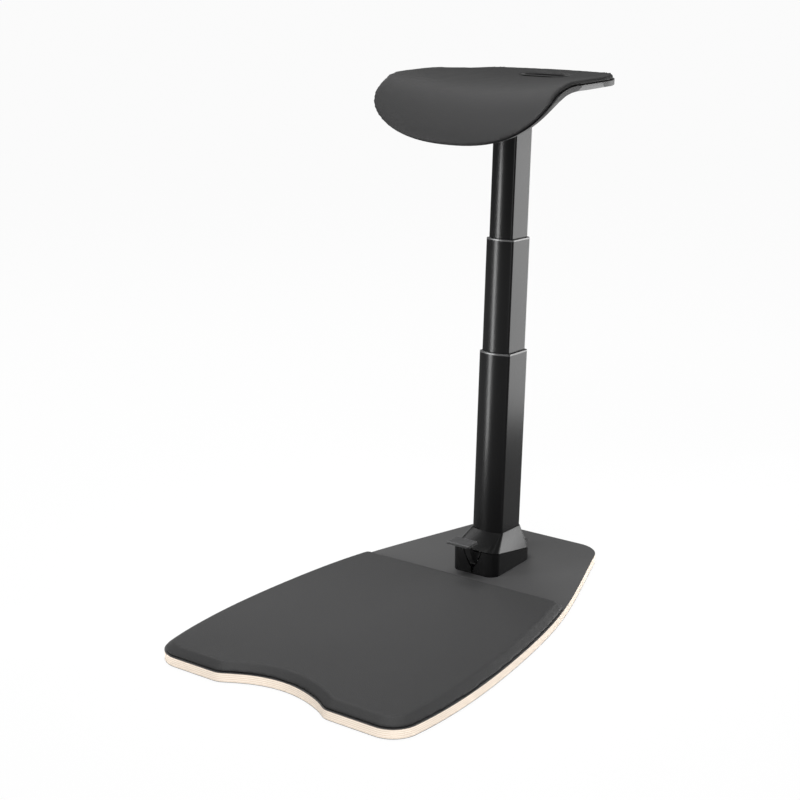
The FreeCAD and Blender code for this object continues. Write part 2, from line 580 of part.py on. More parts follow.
def collar_loft(shrink, lift):
    """Flared cover between the seam and the foot of the outer tube."""
    sections = []
    low = rounded_wire(HOUSING_WIDTH - 2 * shrink,
                       HOUSING_DEPTH / math.cos(math.radians(SEAM_SLOPE)) - 2 * shrink,
                       HOUSING_CORNER_RADIUS - shrink)
    low.rotate(V(0, 0, 0), V(1, 0, 0), -SEAM_SLOPE)
    low.translate(V(0, HOUSING_Y, seam_height(HOUSING_Y) + lift))
    sections.append(low)
    high = BOARD_TOP + COLLAR_TOP_HEIGHT + 0.2 * shrink
    sections.append(lean(stage_wire(0, high, COLLAR_LIP - shrink)))
    return Part.makeLoft(sections, True, True)


def build_mast_foot():
    clear = COLLAR_WALL + 0.5
    plate = rounded_prism(HOUSING_WIDTH - 2 * clear - 4, HOUSING_DEPTH - 2 * clear - 12,
                          HOUSING_CORNER_RADIUS - clear, BOARD_TOP,
                          BOARD_TOP + 2 * SEAM_FRONT_HEIGHT, HOUSING_Y)
    plate = plate.common(under_seam(SEAM_REVEAL + FOOT_PLATE_THICKNESS)).cut(under_seam(SEAM_REVEAL))
    plate = plate.common(collar_loft(COLLAR_WALL + 0.4, -2.4))
    rear = HOUSING_REAR_Y
    arm = [(rear - 18, seam_height(rear - 18) + SEAM_REVEAL + 1),
           (rear - 18, seam_height(rear - 18) + FOOT_PLATE_THICKNESS + 3),
           (HINGE_Y + 2, HINGE_Z + 6), (HINGE_Y + 5, HINGE_Z), (HINGE_Y - 5, HINGE_Z - 2),
           (rear - 10, seam_height(rear - 10) + SEAM_REVEAL + 1)]
    foot = plate.fuse(side_plate(arm, -KNUCKLE_HALF_WIDTH, KNUCKLE_HALF_WIDTH))
    foot = foot.fuse(across(-KNUCKLE_HALF_WIDTH, KNUCKLE_HALF_WIDTH, HINGE_Y, HINGE_Z,
                            HINGE_BARREL_RADIUS))
    tube_room = lean(stage_prism(0, 0, SPIGOT_TOP, FIT_CLEARANCE))
    foot = foot.cut(tube_room.cut(under_seam(SEAM_REVEAL + FOOT_PLATE_THICKNESS)))
    keeper_y, keeper_z = keeper_place()
    low = keeper_z - KEEPER_RADIUS - 2
    ear = [(keeper_y - 3.5, low), (keeper_y - 3.5, seam_height(keeper_y) + 3),
           (keeper_y + 8, seam_height(keeper_y) + 2), (keeper_y + 4, low)]
    x0 = HOOK_HALF_WIDTH + 0.8
    foot = foot.fuse(both_sides(ear, x0, x0 + KEEPER_EAR_THICKNESS))
    foot = foot.cut(across(-x0 - 9, x0 + 9, keeper_y, keeper_z, KEEPER_RADIUS))
    bore = HINGE_SHAFT_RADIUS + PIN_CLEARANCE + HINGE_BUSH_WALL
    foot = foot.cut(across(-KNUCKLE_HALF_WIDTH, KNUCKLE_HALF_WIDTH, HINGE_Y, HINGE_Z, bore))
    for x in (-SPIGOT_BOLT_FROM_MIDDLE, SPIGOT_BOLT_FROM_MIDDLE):
        foot = foot.cut(lean(upright(x, MAST_Y, BOARD_TOP, BOARD_TOP + 90, BOLT_RADIUS)))
    save("mast_foot", foot.removeSplitter())
    end = x0 + KEEPER_EAR_THICKNESS
    save("latch_keeper", across(-end, end, keeper_y, keeper_z, KEEPER_RADIUS))
    bushes = []
    for x in (-KNUCKLE_HALF_WIDTH, 1.0):
        bush = across(x, x + KNUCKLE_HALF_WIDTH - 1.0, HINGE_Y, HINGE_Z, bore)
        hole = across(x, x + KNUCKLE_HALF_WIDTH, HINGE_Y, HINGE_Z, HINGE_SHAFT_RADIUS + PIN_CLEARANCE)
        bushes.append(bush.cut(hole))
    save("hinge_bushes", Part.makeCompound(bushes))
    top = BOARD_TOP + SPIGOT_TOP
    spigot = stage_prism(0, 0, SPIGOT_TOP, -TUBE_WALL - SPIGOT_CLEARANCE)
    socket = upright(0, MAST_Y, top - GAS_SOCKET_DEPTH, top, GAS_CYLINDER_RADIUS + FIT_CLEARANCE)
    spigot = spigot.cut(socket)
    for x in (-SPIGOT_BOLT_FROM_MIDDLE, SPIGOT_BOLT_FROM_MIDDLE):
        spigot = spigot.cut(upright(x, MAST_Y, BOARD_TOP, top - SPIGOT_BOLT_DEPTH + 2, BOLT_RADIUS))
    spigot = lean(spigot).cut(under_seam(SEAM_REVEAL + FOOT_PLATE_THICKNESS))
    save("mast_spigot", spigot.removeSplitter())
    bolts = []
    for x in (-SPIGOT_BOLT_FROM_MIDDLE, SPIGOT_BOLT_FROM_MIDDLE):
        base = seam_height(MAST_Y) - BOARD_TOP - BOLT_HEAD_HEIGHT - 1.5
        bolts.append(lean(screw(x, MAST_Y, BOARD_TOP + base, top - SPIGOT_BOLT_DEPTH,
                                BOLT_RADIUS, BOLT_HEAD_RADIUS, BOLT_HEAD_HEIGHT + 1.2)))
    save("spigot_bolts", Part.makeCompound(bolts))


def keeper_place():
    return PIVOT_Y + 5.5, PIVOT_Z + HOOK_HEIGHT - HOOK_THICKNESS - KEEPER_RADIUS - 0.3


def build_collar():
    body = collar_loft(0.0, 0.0).cut(collar_loft(COLLAR_WALL, -2.0))
    body = body.cut(under_seam(SEAM_REVEAL))
    hole = lean(stage_prism(0, 0, OUTER_TUBE_TOP, FIT_CLEARANCE))
    notch = Part.makeBox(2 * KNUCKLE_HALF_WIDTH + 2, 20, 2 * HINGE_HEIGHT,
                         V(-KNUCKLE_HALF_WIDTH - 1, HOUSING_REAR_Y - 14, HINGE_Z + 9 - 2 * HINGE_HEIGHT))
    save("mast_collar", body.cut(hole).cut(notch).removeSplitter())


def build_tubes():
    foot_top = SEAM_REVEAL + FOOT_PLATE_THICKNESS
    outer = lean(stage_tube(0, 0, OUTER_TUBE_TOP)).cut(under_seam(foot_top))
    save("outer_tube", outer)
    save("middle_tube", lean(stage_tube(1, OUTER_TUBE_TOP - STAGE_OVERLAP, MIDDLE_TUBE_TOP)))
    save("inner_tube", lean(stage_tube(2, MIDDLE_TUBE_TOP - STAGE_OVERLAP, INNER_TUBE_TOP)))
    for stage, top, name in ((0, OUTER_TUBE_TOP, "outer_rim"), (1, MIDDLE_TUBE_TOP, "middle_rim")):
        lip = stage_prism(stage, top, top + RIM_HEIGHT)
        lip = lip.makeFillet(0.8, [e for e in lip.Edges
                                   if min(v.Z for v in e.Vertexes) > BOARD_TOP + top + 1])
        skirt = stage_prism(stage, top - RIM_SKIRT_LENGTH, top, -TUBE_WALL - FIT_CLEARANCE)
        passage = stage_prism(stage + 1, top - RIM_SKIRT_LENGTH, top + RIM_HEIGHT, SLIDE_CLEARANCE)
        save(name, lean(lip.fuse(skirt).cut(passage).removeSplitter()))
    for stage, top, name in ((1, OUTER_TUBE_TOP, "middle_slider"), (2, MIDDLE_TUBE_TOP, "inner_slider")):
        end = top - STAGE_OVERLAP
        ring = stage_prism(stage, end - SLIDER_HEIGHT, end, STAGE_CLEARANCE - SLIDE_CLEARANCE)
        bore = stage_prism(stage, end - SLIDER_HEIGHT, end, -TUBE_WALL)
        save(name, lean(ring.cut(bore)))


def build_gas_spring():
    base = BOARD_TOP + SPIGOT_TOP - GAS_SOCKET_DEPTH
    top = BOARD_TOP + OUTER_TUBE_TOP + GAS_CYLINDER_ABOVE_OUTER_TUBE
    body = upright(0, MAST_Y, base, top, GAS_CYLINDER_RADIUS)
    bore = upright(0, MAST_Y, base + 4, top - 8, GAS_CYLINDER_RADIUS - GAS_CYLINDER_WALL)
    neck = upright(0, MAST_Y, top - 9, top, GAS_ROD_RADIUS + PIN_CLEARANCE)
    save("gas_cylinder", lean(body.cut(bore).cut(neck)))
    rod_top = BOARD_TOP + ROD_TOP
    piston_base = top - 8 - 2 - GAS_PISTON_LENGTH
    rod = upright(0, MAST_Y, piston_base, rod_top, GAS_ROD_RADIUS)
    piston = upright(0, MAST_Y, piston_base, piston_base + GAS_PISTON_LENGTH,
                     GAS_CYLINDER_RADIUS - GAS_CYLINDER_WALL - 0.1)
    rod = rod.fuse(piston).cut(upright(0, MAST_Y, rod_top - 30, rod_top, VALVE_PIN_RADIUS + PIN_CLEARANCE))
    save("gas_rod", lean(rod.removeSplitter()))
    save("valve_pin", lean(upright(0, MAST_Y, rod_top - 24, rod_top + VALVE_PIN_STANDOUT,
                                   VALVE_PIN_RADIUS)))
    nut = upright(0, MAST_Y, rod_top - 7, rod_top - 2, 2 * GAS_ROD_RADIUS)
    save("rod_nut", lean(nut.cut(upright(0, MAST_Y, rod_top - 8, rod_top, GAS_ROD_RADIUS))))



# Seat
def seat_outline_prism(inset):
    """Upright prism of the seat's plan: bowed rear edge, gently curved sides."""
    rear = SEAT_AXIS_Y + SEAT_REAR_FROM_AXIS - inset
    tail = rear - SEAT_TAIL_LENGTH
    front = SEAT_AXIS_Y - SEAT_ROLL_FROM_AXIS - SEAT_ROLL_RADIUS
    a, b = SEAT_HAUNCH_HALF_WIDTH - inset, SEAT_HALF_WIDTH - inset
    side = [(b - 13, front - 20), (b - 9, front), (b, SEAT_AXIS_Y - SEAT_ROLL_FROM_AXIS),
            (b - 4, (SEAT_AXIS_Y + tail) / 2 - 20), (a, tail), (0.86 * a, rear - 0.47 * SEAT_TAIL_LENGTH),
            (0.5 * a, rear - 0.12 * SEAT_TAIL_LENGTH)]
    z = SEAT_TOP - 2 * SEAT_DROP
    points = [V(x, y, z) for x, y in side] + [V(0, rear, z)] + [V(-x, y, z) for x, y in side[::-1]]
    close = Part.makeLine(points[-1], points[0])
    return Part.Face(wire_of([spline(points), close])).extrude(V(0, 0, 3 * SEAT_DROP))


def seat_front_prism(inset):
    """Prism along Y of the seat's front view: a wide U that trims the rolled front."""
    w = SEAT_HALF_WIDTH + 1 - inset
    drop = SEAT_DROP - inset
    y = SEAT_AXIS_Y - 2 * SEAT_ROLL_FROM_AXIS - SEAT_ROLL_RADIUS
    power = 2 / SEAT_DROP_FULLNESS
    curve = []
    for i in range(13):
        turn = math.pi * i / 12
        side, low = math.cos(turn), math.sin(turn)
        x = math.copysign(abs(side) ** power, side) * w
        curve.append(V(x, y, SEAT_TOP - drop * low ** power))
    top = SEAT_TOP + 12
    rim = [V(w, y, SEAT_TOP), V(w + 20, y, top), V(-w - 20, y, top), V(-w, y, SEAT_TOP)]
    lines = [Part.makeLine(rim[i], rim[i + 1]) for i in range(3)]
    return Part.Face(wire_of([spline(curve)] + lines)).extrude(V(0, 6 * SEAT_ROLL_RADIUS, 0))


def seat_curve(x, depth):
    """Side profile at x, the given depth below the top: level behind, rolled down in front."""
    sink = SEAT_DISH * (1 - (x / SEAT_HALF_WIDTH) ** 2)
    roll_y = SEAT_AXIS_Y - SEAT_ROLL_FROM_AXIS
    roll_z = SEAT_TOP - SEAT_ROLL_RADIUS
    reach = SEAT_ROLL_RADIUS - depth
    rise = SEAT_ROLL_RADIUS - sink - depth
    rear = SEAT_AXIS_Y + SEAT_REAR_FROM_AXIS + 1
    level = []
    for share in (1.0, 0.75, 0.5, 0.25, 0.1):
        y = roll_y + share * (rear - roll_y)
        lift = max(0.0, (y - rear) / SEAT_TAIL_LENGTH + 1) ** 2 * SEAT_TAIL_RISE
        level.append(V(x, y, roll_z + rise + lift))
    turns = [math.radians(90 - 22.5 * i) for i in range(5)]
    roll = [V(x, roll_y - reach * math.cos(t), roll_z + rise * math.sin(t)) for t in turns]
    return level + roll + [V(x, roll_y - reach, roll_z - 12)]


def seat_layer(upper, lower, inset):
    """Layer of the seat between two depths below its top surface."""
    sections = []
    for share in (-1.08, -0.54, 0, 0.54, 1.08):
        x = share * SEAT_HALF_WIDTH
        high, low = seat_curve(x, upper), seat_curve(x, lower)
        sections.append(wire_of([spline(high), spline(low), Part.makeLine(high[0], low[0]),
                                 Part.makeLine(high[-1], low[-1])]))
    band = Part.makeLoft(sections, True, False)
    band = band.common(seat_outline_prism(inset)).common(seat_front_prism(inset))
    slot_y = SEAT_AXIS_Y + SLOT_FROM_AXIS
    return band.cut(slot_prism(SLOT_LENGTH, SLOT_WIDTH, slot_y, SHELL_BOTTOM - 6, SEAT_TOP + 5))


SEAT_SCREWS = bolt_points(BRACKET_PLATE_HALF_WIDTH - BRACKET_SCREW_FROM_SIDE,
                          SEAT_AXIS_Y - BRACKET_FRONT_FROM_AXIS + BRACKET_SCREW_FROM_END,
                          SEAT_AXIS_Y + BRACKET_REAR_FROM_AXIS - BRACKET_SCREW_FROM_END)


def build_seat():
    slot_y = SEAT_AXIS_Y + SLOT_FROM_AXIS
    length, width = SLOT_LENGTH - 2 * FIT_CLEARANCE, SLOT_WIDTH - 2 * FIT_CLEARANCE
    rim_length, rim_width = length + 2 * BEZEL_FLANGE, width + 2 * BEZEL_FLANGE
    recess = slot_prism(rim_length + 0.4, rim_width + 0.4, slot_y, SEAT_LOW, SEAT_TOP + 5)
    save("seat_pad", seat_layer(0.0, PAD_THICKNESS, PAD_INSET).cut(recess))
    shell = seat_layer(PAD_THICKNESS, PAD_THICKNESS + SHELL_THICKNESS, 0.0)
    for x, y in SEAT_SCREWS:
        shell = shell.cut(upright(x, y, SHELL_BOTTOM - 1, PAD_BOTTOM - 1, SCREW_RADIUS))
    save("seat_shell", shell)
    sleeve = slot_prism(length, width, slot_y, SHELL_BOTTOM, SEAT_LOW)
    flange = slot_prism(rim_length, rim_width, slot_y, SEAT_LOW, SEAT_LOW + BEZEL_FLANGE_THICKNESS)
    hole = slot_prism(length - 2 * BEZEL_WALL, width - 2 * BEZEL_WALL, slot_y, SHELL_BOTTOM,
                      SEAT_LOW + BEZEL_FLANGE_THICKNESS)
    save("slot_bezel", sleeve.fuse(flange).cut(hole).removeSplitter())


def build_seat_bracket():
    base = BOARD_TOP + INNER_TUBE_TOP
    plug = stage_prism(2, INNER_TUBE_TOP - BRACKET_PLUG_LENGTH, INNER_TUBE_TOP, -TUBE_WALL - SPIGOT_CLEARANCE)
    flange = stage_prism(2, INNER_TUBE_TOP, FLANGE_TOP)
    bore = upright(0, MAST_Y, base - BRACKET_PLUG_LENGTH - 1, base + 20, GAS_ROD_RADIUS)
    stem = lean(plug.fuse(flange).cut(bore))
    plate_top = SHELL_BOTTOM - 0.4
    plate_low = plate_top - BRACKET_PLATE_THICKNESS
    front, rear = SEAT_AXIS_Y - BRACKET_FRONT_FROM_AXIS, SEAT_AXIS_Y + BRACKET_REAR_FROM_AXIS
    plate = Part.makeBox(2 * BRACKET_PLATE_HALF_WIDTH, rear - front, BRACKET_PLATE_THICKNESS,
                         V(-BRACKET_PLATE_HALF_WIDTH, front, plate_low))
    plate = plate.makeFillet(10.0, [e for e in plate.Edges if is_upright(e)])
    neck_y = MAST_Y + (INNER_TUBE_TOP * LEAN_SIN)
    half = TUBE_DEPTH / 2 - 2 * STAGE_STEP - 4
    cheek = [(neck_y - half, base + 1), (neck_y - half - 2, base + 12), (front + 14, plate_low),
             (rear - 4, plate_low), (rear - 8, plate_low - 18), (neck_y + half + 4, base + 14),
             (neck_y + half, base + 1)]
    bracket = plate.fuse([stem, both_sides(cheek, CHEEK_INNER, CHEEK_INNER + CHEEK_THICKNESS)])
    web = Part.makeBox(2 * CHEEK_INNER, 4, plate_low - base - 22, V(-CHEEK_INNER, front + 20, base + 22))
    bracket = bracket.fuse(web.common(side_plate(cheek, -CHEEK_INNER, CHEEK_INNER)))
    for x, y in SEAT_SCREWS:
        bracket = bracket.cut(upright(x, y, plate_low, plate_top, SCREW_RADIUS + 0.2))
    pin_y, pin_z = lever_pivot()
    end = CHEEK_INNER + CHEEK_THICKNESS
    bracket = bracket.cut(across(-end, end, pin_y, pin_z, LEVER_PIN_RADIUS))
    save("seat_bracket", bracket.removeSplitter())
    screws = [screw(x, y, plate_low - SCREW_HEAD_HEIGHT, PAD_BOTTOM - 2, SCREW_RADIUS,
                    SCREW_HEAD_RADIUS, SCREW_HEAD_HEIGHT) for x, y in SEAT_SCREWS]
    save("seat_screws", Part.makeCompound(screws))
    save("lever_pin", across(-end, end, pin_y, pin_z, LEVER_PIN_RADIUS))


def lever_pivot():
    axis_y = MAST_Y + INNER_TUBE_TOP * LEAN_SIN
    return axis_y + LEVER_PIVOT_FROM_AXIS, BOARD_TOP + INNER_TUBE_TOP + LEVER_PIVOT_HEIGHT


def build_lever():
    y, z = lever_pivot()
    pin_top = BOARD_TOP + ROD_TOP + VALVE_PIN_STANDOUT
    nose_y = y - LEVER_PIVOT_FROM_AXIS
    arm = [(y, z + 4), (nose_y - 5, pin_top + 9), (nose_y - 5, pin_top + 0.5),
           (nose_y + 6, pin_top + 0.5), (y, z - 4)]
    paddle = [(y, z + 3), (y + 30, z + 4), (y + LEVER_REACH - 4, z + 2),
              (y + LEVER_REACH, z - 3), (y + LEVER_REACH - 5, z - 2), (y + 30, z + 4 - LEVER_THICKNESS),
              (y, z - 3)]
    nose = side_plate(arm, -6.0, 6.0)
    blade = side_plate(paddle, -LEVER_HALF_WIDTH, LEVER_HALF_WIDTH)
    boss = across(-LEVER_HALF_WIDTH, LEVER_HALF_WIDTH, y, z, LEVER_BOSS_RADIUS)
    lever = boss.fuse([nose, blade])
    lever = lever.cut(across(-LEVER_HALF_WIDTH, LEVER_HALF_WIDTH, y, z, LEVER_PIN_RADIUS + PIN_CLEARANCE))
    save("height_lever", lever.removeSplitter())


build_board()
build_housing()
build_base_bracket()
build_pedal()
build_mast_foot()
build_collar()
build_tubes()
build_gas_spring()
build_seat()
build_seat_bracket()
build_lever()
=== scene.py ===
import math

import bpy
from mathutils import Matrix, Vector


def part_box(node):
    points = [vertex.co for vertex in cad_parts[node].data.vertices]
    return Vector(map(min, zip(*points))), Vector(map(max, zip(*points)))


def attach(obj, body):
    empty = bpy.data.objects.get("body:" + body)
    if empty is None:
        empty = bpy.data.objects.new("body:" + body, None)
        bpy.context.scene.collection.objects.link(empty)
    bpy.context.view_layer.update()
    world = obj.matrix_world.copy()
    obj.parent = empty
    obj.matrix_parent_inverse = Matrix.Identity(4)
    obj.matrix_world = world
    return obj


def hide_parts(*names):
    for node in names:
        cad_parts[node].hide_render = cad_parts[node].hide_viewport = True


bl_info = {
    "name": "Perch stool looks",
    "version": (1, 0, 0),
    "blender": (4, 5, 0),
    "location": "View3D > Sidebar > Perch stool",
    "description": "Dresses a perch stool: standing mat, seat pad, finishes and a plain studio",
    "category": "Object",
}

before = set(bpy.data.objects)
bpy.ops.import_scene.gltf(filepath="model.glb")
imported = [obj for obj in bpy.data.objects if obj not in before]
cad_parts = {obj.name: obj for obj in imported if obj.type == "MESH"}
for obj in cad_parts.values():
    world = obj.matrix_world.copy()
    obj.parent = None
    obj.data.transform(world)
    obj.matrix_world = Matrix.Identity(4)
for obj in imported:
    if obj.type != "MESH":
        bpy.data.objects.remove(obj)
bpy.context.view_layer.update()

# Lamps: name, place, target, size, power in watts, spread in degrees
LAMPS = (
    ("rear_key", (-1.75, 1.15, 2.40), (0.0, 0.0, 0.2), (1.5, 1.0), 27.0, 180.0),
    ("overhead", (0.15, -0.20, 2.80), (0.0, 0.0, 0.5), (1.8, 0.5), 24.0, 180.0),
    ("seat_light", (0.15, -0.50, 1.40), (0.0, 0.09, 0.76), (0.8, 0.2), 9.0, 120.0),
    ("front_fill", (2.0, -2.4, 0.6), (0.0, 0.0, 0.1), (1.6, 1.0), 38.0, 180.0),
    ("left_strip", (-0.53, -0.51, 0.34), (0.0, 0.222, 0.34), (0.11, 0.66), 2.7, 70.0),
    ("right_rear_panel", (0.47, 0.98, 0.36), (0.0, 0.222, 0.36), (0.7, 0.7), 2.3, 70.0),
)

# Camera, floor and surroundings
CAMERA_PLACE = (1.3418, -1.9449, 1.0498)
CAMERA_TURN = 35.4           # degrees to the right of the stool's front
CAMERA_DIP = 16.37           # degrees below level
SENSOR_WIDTH = 36.0
FLOOR_RADIUS = 30.0
FLOOR_SIDES = 96
FLOOR_GREY = (0.80, 0.80, 0.80, 1)
FLOOR_ROUGHNESS = 0.9
FLOOR_WHITE_SHARE = 0.95     # how white the floor looks to the camera and in reflections
SKY_GREY = (0.95, 0.95, 0.95, 1)
SKY_STRENGTH = 0.35
WHITE = (1, 1, 1, 1)

# Colours of the small parts and of those inside
# Slot rim: black plastic, made darker than the pad and shell; the extra darkness is painted shade for
# the inside of the slot
SLOT_RIM_BLACK_AND_PAINTED_SHADE = (0.004, 0.004, 0.0042)
TUBE_RIM = (0.012, 0.012, 0.0125)
GUIDE_PLASTIC = (0.62, 0.61, 0.57)
GAS_SPRING_PAINT = (0.03, 0.03, 0.031)
LEVER_PLASTIC = (0.02, 0.02, 0.021)
BLACK_OXIDE = (0.02, 0.02, 0.021)
FOOT_RUBBER = (0.03, 0.03, 0.03)
TREAD_RUBBER = (0.035, 0.035, 0.036)
POLISHED_STEEL = (0.68, 0.68, 0.69)
ZINC_PLATE = (0.55, 0.56, 0.58)
GROUND_STEEL = (0.58, 0.58, 0.59)
SPRING_STEEL = (0.40, 0.40, 0.41)
BRONZE = (0.45, 0.29, 0.15)
GLUE_LINE = (0.30, 0.20, 0.13)

# Depth of the fine relief in metres
SKIN_DEPTH = 0.0004
COAT_DEPTH = 0.0003
METAL_DEPTH = 0.0001
RUBBER_DEPTH = 0.0002
WOOD_DEPTH = 0.0003

# Plywood edge
VENEERS = 9
VENEER_WAVER = 0.0006        # how far a glue line wanders up and down
PALE_GRAIN = (0.90, 0.90, 0.90)
CROSS_GRAIN = (0.92, 0.88, 0.84)
CROSS_PORES = (0.70, 0.64, 0.58)

# Meshes of the soft pieces
WELD_DISTANCE = 0.00002
MAT_SMOOTHING = 3
PAD_SMOOTHING = 6
PAD_LAST_SMOOTHING = 4
FOAM_STEPS = 14
FOAM_PRESSURE = 0.6
FOAM_STRETCH_STIFFNESS = 30.0
FOAM_SHEAR_STIFFNESS = 20.0
FOAM_BEND_STIFFNESS = 5.0

X_AXIS, Y_AXIS, Z_AXIS = 0, 1, 2


class StoolSizes(bpy.types.PropertyGroup):
    """Sizes of the soft pieces and the camera's lens"""
    mat_voxel: bpy.props.FloatProperty(
        name="Mat mesh size", description="Mesh size of the standing mat's skin",
        default=0.0028, min=0.0015, max=0.006, unit="LENGTH")
    mat_crown: bpy.props.FloatProperty(
        name="Mat crown", description="How far the middle of the mat stands proud of its edge",
        default=0.0006, min=0.0, max=0.003, unit="LENGTH")
    pad_voxel: bpy.props.FloatProperty(
        name="Pad mesh size", description="Mesh size of the seat pad's skin",
        default=0.0028, min=0.0015, max=0.006, unit="LENGTH")
    pad_swell: bpy.props.FloatProperty(
        name="Pad swell", description="Most that a point of the pad may move as the foam fills it",
        default=0.0012, min=0.0, max=0.005, unit="LENGTH")
    lens: bpy.props.FloatProperty(
        name="Lens", description="Camera lens in millimetres on a 36 mm sensor",
        default=72.0, min=20.0, max=200.0)


class StoolColours(bpy.types.PropertyGroup):
    """Base colours of the finishes"""
    mat: bpy.props.FloatVectorProperty(
        name="Standing mat", description="Skin of the standing mat", subtype="COLOR",
        default=(0.020, 0.020, 0.0204), min=0.0, max=1.0)
    laminate: bpy.props.FloatVectorProperty(
        name="Laminate", description="Face of the board", subtype="COLOR",
        default=(0.047, 0.047, 0.0474), min=0.0, max=1.0)
    ply: bpy.props.FloatVectorProperty(
        name="Plywood", description="Light veneers of the board's edge", subtype="COLOR",
        default=(0.96, 0.86, 0.75), min=0.0, max=1.0)
    coat: bpy.props.FloatVectorProperty(
        name="Tube coat", description="Satin coat of the mast's tubes", subtype="COLOR",
        default=(0.0032, 0.0032, 0.0033), min=0.0, max=1.0)
    casting: bpy.props.FloatVectorProperty(
        name="Casting", description="Covers at the mast's foot", subtype="COLOR",
        default=(0.0045, 0.0045, 0.0046), min=0.0, max=1.0)
    pad: bpy.props.FloatVectorProperty(
        name="Seat pad", description="Soft skin of the seat pad", subtype="COLOR",
        default=(0.014, 0.014, 0.0142), min=0.0, max=1.0)
    shell: bpy.props.FloatVectorProperty(
        name="Seat shell", description="Moulded shell under the pad", subtype="COLOR",
        default=(0.014, 0.014, 0.0145), min=0.0, max=1.0)


# Nodes
def new_group(name, inputs, outputs):
    group = bpy.data.node_groups.new(name, "ShaderNodeTree")
    for label, kind, value in inputs:
        item = group.interface.new_socket(label, in_out="INPUT", socket_type=kind)
        if value is not None:
            item.default_value = value
    for label, kind in outputs:
        group.interface.new_socket(label, in_out="OUTPUT", socket_type=kind)
    return group, group.nodes.new("NodeGroupInput"), group.nodes.new("NodeGroupOutput")


def feed(tree, target, value):
    """Gives an input a link, a number or a plain colour."""
    if isinstance(value, bpy.types.NodeSocket):
        tree.links.new(value, target)
    elif target.type == "RGBA":
        target.default_value = tuple(value)[:3] + (1.0,)
    else:
        target.default_value = value


def add(tree, kind, links=(), **values):
    """New node; values are properties or input defaults, links are (input, socket) pairs."""
    node = tree.nodes.new(kind)
    for key, value in values.items():
        if hasattr(node, key):
            setattr(node, key, value)
        else:
            node.inputs[key.replace("_", " ")].default_value = value
    for target, source in links:
        tree.links.new(source, node.inputs[target])
    return node


def calculate(tree, operation, *terms):
    """Math node; each term is a socket or a number."""
    node = add(tree, "ShaderNodeMath", operation=operation)
    for target, term in zip(node.inputs, terms):
        feed(tree, target, term)
    return node.outputs[0]


def scaled_point(tree, source, scale):
    """Vector times another one, part by part."""
    node = add(tree, "ShaderNodeVectorMath", [(0, source)], operation="MULTIPLY")
    feed(tree, node.inputs[1], scale)
    return node.outputs[0]


def noise(tree, point, scale, detail):
    node = add(tree, "ShaderNodeTexNoise", [("Vector", point)], Detail=detail)
    feed(tree, node.inputs["Scale"], scale)
    return node


def blend_colour(tree, factor, first, second):
    node = add(tree, "ShaderNodeMix", [("Factor", factor)], data_type="RGBA")
    feed(tree, node.inputs[6], first)
    feed(tree, node.inputs[7], second)
    return node.outputs[2]


def spread(tree, source, low, high):
    """Maps 0..1 to low..high."""
    node = add(tree, "ShaderNodeMapRange", [(0, source)])
    node.inputs[3].default_value = low
    node.inputs[4].default_value = high
    return node.outputs[0]


def smooth_step(tree, source, start, end):
    """Soft rise from 0 at start to 1 at end."""
    node = add(tree, "ShaderNodeMapRange", [(0, source)], interpolation_type="SMOOTHSTEP")
    node.inputs[1].default_value = start
    node.inputs[2].default_value = end
    return node.outputs[0]


def lines_along(axis, low, high=900.0):
    """Noise scale for fine lines along an axis: low along them and high across."""
    scale = [high, high, high]
    scale[axis] = low
    return tuple(scale)


def make_mottle():
    """Slow tone changes over a surface: a colour and a roughness that vary a little."""
    tree, come, go = new_group(
        "soft_mottle",
        [("Point", "NodeSocketVector", None), ("Colour", "NodeSocketColor", (0.1, 0.1, 0.1, 1)),
         ("Change", "NodeSocketFloat", 0.2), ("Size", "NodeSocketFloat", 12.0),
         ("Roughness", "NodeSocketFloat", 0.5), ("Roughness change", "NodeSocketFloat", 0.05)],
        [("Colour", "NodeSocketColor"), ("Roughness", "NodeSocketFloat")])
    clouds = noise(tree, come.outputs["Point"], come.outputs["Size"], 5.0)
    centred = calculate(tree, "SUBTRACT", clouds.outputs["Fac"], 0.5)
    amount = calculate(tree, "MULTIPLY", centred, come.outputs["Change"])
    gain = calculate(tree, "ADD", amount, 1.0)
    colour = add(tree, "ShaderNodeVectorMath", [(0, come.outputs["Colour"])], operation="SCALE")
    tree.links.new(gain, colour.inputs["Scale"])
    rough = calculate(tree, "MULTIPLY_ADD", centred, come.outputs["Roughness change"],
                      come.outputs["Roughness"])
    tree.links.new(colour.outputs[0], go.inputs["Colour"])
    tree.links.new(rough, go.inputs["Roughness"])
    return tree


def make_grain():
    """Fine pebbled skin of moulded foam and plastic, as a height."""
    tree, come, go = new_group(
        "pebble_grain",
        [("Point", "NodeSocketVector", None), ("Cells", "NodeSocketFloat", 900.0),
         ("Fine", "NodeSocketFloat", 0.35)],
        [("Height", "NodeSocketFloat")])
    bend = noise(tree, come.outputs["Point"], 220.0, 2.0)
    shift = add(tree, "ShaderNodeVectorMath", [(0, bend.outputs["Color"])], operation="SCALE")
    shift.inputs["Scale"].default_value = 0.0016
    point = add(tree, "ShaderNodeVectorMath", [(0, come.outputs["Point"]), (1, shift.outputs[0])],
                operation="ADD")
    cell = add(tree, "ShaderNodeTexVoronoi",
               [("Vector", point.outputs[0]), ("Scale", come.outputs["Cells"])],
               feature="DISTANCE_TO_EDGE")
    dome = smooth_step(tree, cell.outputs["Distance"], 0.0, 0.32)
    grit = noise(tree, come.outputs["Point"], 2600.0, 2.0)
    height = calculate(tree, "MULTIPLY_ADD", grit.outputs["Fac"], come.outputs["Fine"], dome)
    tree.links.new(height, go.inputs["Height"])
    return tree


